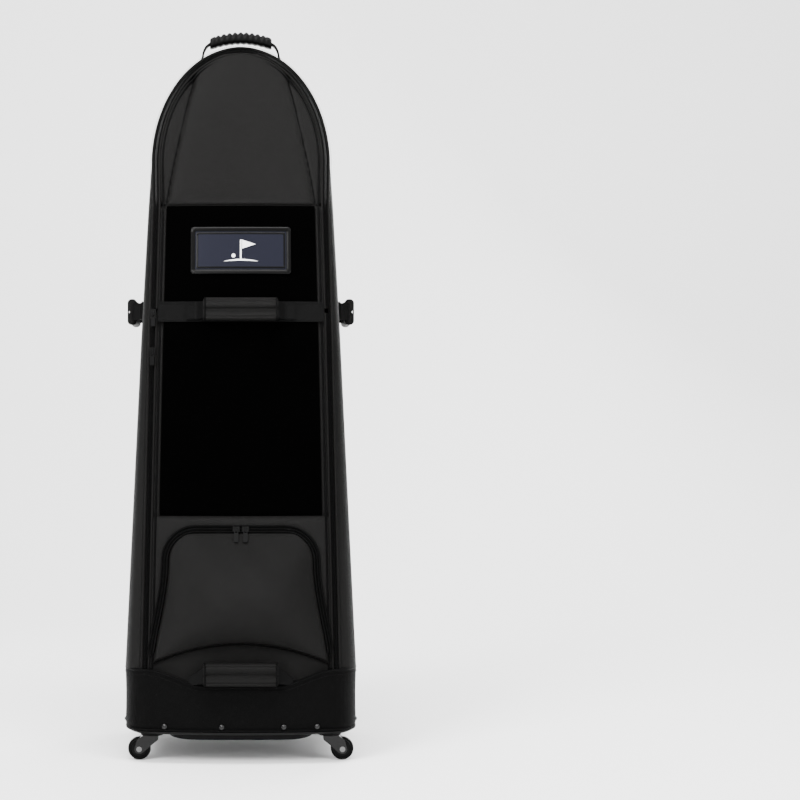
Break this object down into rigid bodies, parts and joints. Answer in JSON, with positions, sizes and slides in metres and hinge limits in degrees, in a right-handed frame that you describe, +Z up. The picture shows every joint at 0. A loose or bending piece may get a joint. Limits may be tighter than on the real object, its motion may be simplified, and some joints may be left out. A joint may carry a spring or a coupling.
{
  "type": "golf travel case",
  "caption": "Upright soft-sided travel case for a golf bag, with a fold-down zipped front flap, shoe pocket, grab handles and swivelling casters under a hard tray.",
  "frame": {"origin": "centre of the bounding box on the ground plane under the casters", "axes": "+Z up, the front with the flap faces -Y, +X is the right side of the front"},
  "size_m": [0.4084, 0.3652, 1.323],
  "materials": {
    "shell_cloth": "charcoal twill, matt",
    "loop_cloth": "deep black brushed loop pile",
    "boot_cloth": "heavy ballistic weave, piped top edge",
    "lining": "satin grey lining",
    "pocket_nylon": "shiny wrinkled nylon",
    "webbing": "ribbed webbing",
    "zip_tape": "zip tape and coil",
    "zip_metal": "black slider",
    "tray_plastic": "textured moulding",
    "caster_plastic": "glossy moulding",
    "caster_tread": "smooth tread",
    "steel": "bright",
    "grip_rubber": "ribbed",
    "window_plastic": "satin frame",
    "window_card": "slate card under film"
  },
  "bodies": {
    "shell": {"back_panel": "shell_cloth", "left_side_panel": "shell_cloth", "right_side_panel": "shell_cloth", "crown_gusset": "shell_cloth", "lower_front_panel": "shell_cloth", "boot_band": "boot_cloth", "base_tray": "tray_plastic", "floor_pad": "lining", "caster_socket_front_left": "tray_plastic", "caster_socket_front_right": "tray_plastic", "caster_socket_rear_left": "tray_plastic", "caster_socket_rear_right": "tray_plastic", "main_zip_chain_left": "zip_tape", "main_zip_chain_right": "zip_tape", "main_zip_chain_upper": "zip_tape", "pocket_zip_chain": "zip_tape", "top_handle_anchor_left": "webbing", "top_handle_anchor_right": "webbing", "left_handle_base": "webbing", "right_handle_base": "webbing"},
    "fold_band": {"fold_band_panel": "loop_cloth", "handle_webbing": "webbing"},
    "flap": {"flap_lower_panel": "loop_cloth", "flap_dome_panel": "shell_cloth", "id_window_frame": "window_plastic", "id_window_insert": "window_card", "flap_inner_pocket": "pocket_nylon"},
    "mid_handle": {"mid_handle_strap": "webbing", "mid_handle_wrap": "webbing"},
    "left_handle": {"left_handle_strap": "webbing", "left_handle_wrap": "webbing"},
    "right_handle": {"right_handle_strap": "webbing", "right_handle_wrap": "webbing"},
    "bottom_handle": {"bottom_handle_strap": "webbing", "bottom_handle_wrap": "webbing"},
    "top_handle": {"top_handle_bail": "webbing", "top_handle_grip": "grip_rubber"},
    "upper_slider": {"upper_slider": "zip_metal"},
    "upper_puller": {"upper_puller": "zip_metal"},
    "lower_slider": {"lower_slider": "zip_metal"},
    "lower_puller": {"lower_puller": "zip_metal"},
    "pocket_cover": {"pocket_cover": "shell_cloth"},
    "pocket_slider_left": {"pocket_slider_left": "zip_metal"},
    "pocket_slider_right": {"pocket_slider_right": "zip_metal"},
    "pocket_puller_left": {"pocket_puller_left": "zip_metal"},
    "pocket_puller_right": {"pocket_puller_right": "zip_metal"},
    "caster_front_left": {"caster_fork_front_left": "caster_plastic", "caster_axle_front_left": "steel"},
    "wheel_front_left": {"caster_wheel_front_left": "caster_tread"},
    "caster_front_right": {"caster_fork_front_right": "caster_plastic", "caster_axle_front_right": "steel"},
    "wheel_front_right": {"caster_wheel_front_right": "caster_tread"},
    "caster_rear_left": {"caster_fork_rear_left": "caster_plastic", "caster_axle_rear_left": "steel"},
    "wheel_rear_left": {"caster_wheel_rear_left": "caster_tread"},
    "caster_rear_right": {"caster_fork_rear_right": "caster_plastic", "caster_axle_rear_right": "steel"},
    "wheel_rear_right": {"caster_wheel_rear_right": "caster_tread"}
  },
  "joints": [
    {"name": "flap_fold", "type": "hinge", "parent": "shell", "child": "fold_band", "pos_m": [0, -0.10543, 0.735], "axis": [1, 0, 0], "range_deg": [0, 96]},
    {"name": "flap_curl", "type": "hinge", "parent": "fold_band", "child": "flap", "pos_m": [0, -0.08493, 0.835], "axis": [1, 0, 0], "range_deg": [0, 96]},
    {"name": "mid_handle_swing", "type": "hinge", "parent": "fold_band", "child": "mid_handle", "pos_m": [0, -0.09693, 0.7825], "axis": [1, 0, 0], "range_deg": [-20, 20]},
    {"name": "left_handle_swing", "type": "hinge", "parent": "shell", "child": "left_handle", "pos_m": [-0.17718, 0.05557, 0.786], "axis": [0, 1, 0], "range_deg": [-20, 20]},
    {"name": "right_handle_swing", "type": "hinge", "parent": "shell", "child": "right_handle", "pos_m": [0.17718, 0.05557, 0.786], "axis": [0, 1, 0], "range_deg": [-20, 20]},
    {"name": "bottom_handle_swing", "type": "hinge", "parent": "shell", "child": "bottom_handle", "pos_m": [0, -0.17243, 0.136], "axis": [1, 0, 0], "range_deg": [0, 80]},
    {"name": "top_handle_tilt", "type": "hinge", "parent": "shell", "child": "top_handle", "pos_m": [0, 0.15057, 1.2835], "axis": [1, 0, 0], "range_deg": [-60, 40]},
    {"name": "upper_slider_run", "type": "slide", "parent": "shell", "child": "upper_slider", "axis": [0.0175, 0.2039, 0.9788], "range_m": [0, 0.17]},
    {"name": "lower_slider_run", "type": "slide", "parent": "shell", "child": "lower_slider", "axis": [-0.0178, -0.0911, -0.9957], "range_m": [0, 0.46]},
    {"name": "upper_puller_swing", "type": "hinge", "parent": "upper_slider", "child": "upper_puller", "pos_m": [-0.15448, -0.09043, 0.78029], "axis": [-1, 0, 0], "range_deg": [0, 120]},
    {"name": "lower_puller_swing", "type": "hinge", "parent": "lower_slider", "child": "lower_puller", "pos_m": [-0.15569, -0.10193, 0.71213], "axis": [-1, 0, 0], "range_deg": [0, 120]},
    {"name": "pocket_cover_fold", "type": "hinge", "parent": "shell", "child": "pocket_cover", "pos_m": [0, -0.15943, 0.188], "axis": [1, 0, 0], "range_deg": [0, 24]},
    {"name": "pocket_slider_left_run", "type": "slide", "parent": "pocket_cover", "child": "pocket_slider_left", "axis": [-1, 0, 0], "range_m": [0, 0.055]},
    {"name": "pocket_puller_left_swing", "type": "hinge", "parent": "pocket_slider_left", "child": "pocket_puller_left", "pos_m": [-0.008, -0.14398, 0.4045], "axis": [-1, 0, 0], "range_deg": [0, 90]},
    {"name": "pocket_slider_right_run", "type": "slide", "parent": "pocket_cover", "child": "pocket_slider_right", "axis": [1, 0, 0], "range_m": [0, 0.055]},
    {"name": "pocket_puller_right_swing", "type": "hinge", "parent": "pocket_slider_right", "child": "pocket_puller_right", "pos_m": [0.008, -0.14398, 0.4045], "axis": [-1, 0, 0], "range_deg": [0, 90]},
    {"name": "caster_front_left_swivel", "type": "hinge", "parent": "shell", "child": "caster_front_left", "pos_m": [-0.155, -0.11243, 0.0436], "axis": [0, 0, 1], "continuous": true},
    {"name": "wheel_front_left_roll", "type": "hinge", "parent": "caster_front_left", "child": "wheel_front_left", "pos_m": [-0.177, -0.11243, 0.02], "axis": [0, 1, 0], "continuous": true},
    {"name": "caster_front_right_swivel", "type": "hinge", "parent": "shell", "child": "caster_front_right", "pos_m": [0.155, -0.11243, 0.0436], "axis": [0, 0, 1], "continuous": true},
    {"name": "wheel_front_right_roll", "type": "hinge", "parent": "caster_front_right", "child": "wheel_front_right", "pos_m": [0.177, -0.11243, 0.02], "axis": [0, 1, 0], "continuous": true},
    {"name": "caster_rear_left_swivel", "type": "hinge", "parent": "shell", "child": "caster_rear_left", "pos_m": [-0.155, 0.13757, 0.0436], "axis": [0, 0, 1], "continuous": true},
    {"name": "wheel_rear_left_roll", "type": "hinge", "parent": "caster_rear_left", "child": "wheel_rear_left", "pos_m": [-0.177, 0.13757, 0.02], "axis": [0, 1, 0], "continuous": true},
    {"name": "caster_rear_right_swivel", "type": "hinge", "parent": "shell", "child": "caster_rear_right", "pos_m": [0.155, 0.13757, 0.0436], "axis": [0, 0, 1], "continuous": true},
    {"name": "wheel_rear_right_roll", "type": "hinge", "parent": "caster_rear_right", "child": "wheel_rear_right", "pos_m": [0.177, 0.13757, 0.02], "axis": [0, 1, 0], "continuous": true}
  ],
  "couplings": [
    {"joint": "flap_curl", "follows": "flap_fold", "ratio": 1}
  ]
}
